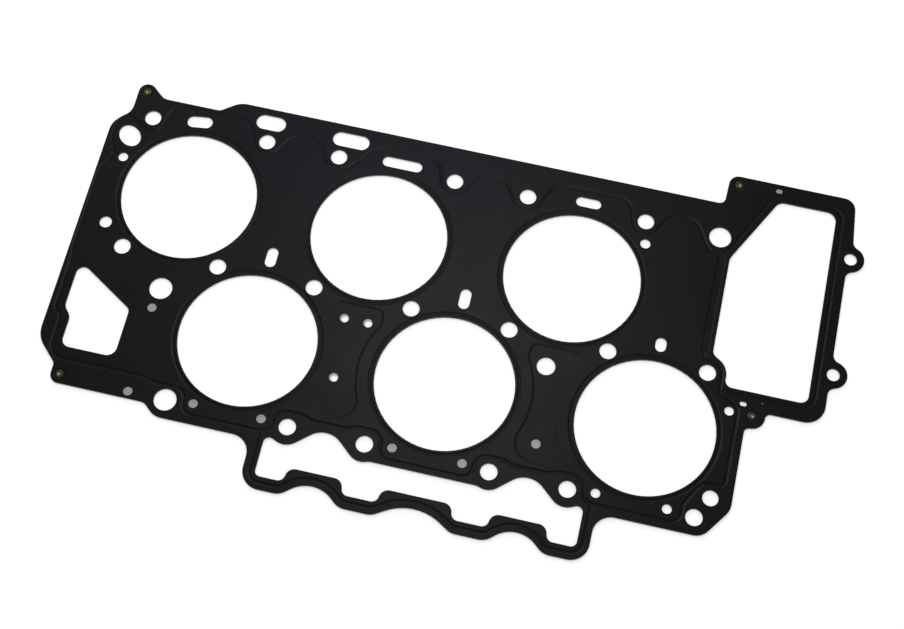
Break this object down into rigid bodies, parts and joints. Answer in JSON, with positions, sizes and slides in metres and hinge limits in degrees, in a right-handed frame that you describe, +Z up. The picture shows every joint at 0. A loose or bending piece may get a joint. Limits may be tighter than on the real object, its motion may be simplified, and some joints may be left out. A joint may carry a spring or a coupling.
{
  "type": "cylinder head gasket",
  "caption": "Flat multi-layer steel gasket that seals a narrow-angle V6 cylinder head to its block, with bores, bolt holes, coolant holes and window frames",
  "frame": {"origin": "axis of cylinder 1 in the face that lies on the block", "axes": "+X along the crankshaft towards the chain case, +Y from the lower cylinder row to the upper, +Z up out of the block face"},
  "size_m": [0.5118, 0.2819, 0.0014],
  "materials": {
    "coated_steel": "satin fluoroelastomer coating on spring steel",
    "bare_steel": "rolled bare stainless sheet",
    "rivet_brass": "dull brass"
  },
  "bodies": {
    "root": {"lower_sheet": "coated_steel", "upper_sheet": "coated_steel", "carrier_sheet": "bare_steel", "stopper_ring_1": "bare_steel", "stopper_ring_2": "bare_steel", "stopper_ring_3": "bare_steel", "stopper_ring_4": "bare_steel", "stopper_ring_5": "bare_steel", "stopper_ring_6": "bare_steel", "front_upper_rivet": "rivet_brass", "front_lower_rivet": "rivet_brass", "rear_upper_rivet": "rivet_brass", "rear_lower_rivet": "rivet_brass"}
  },
  "joints": []
}
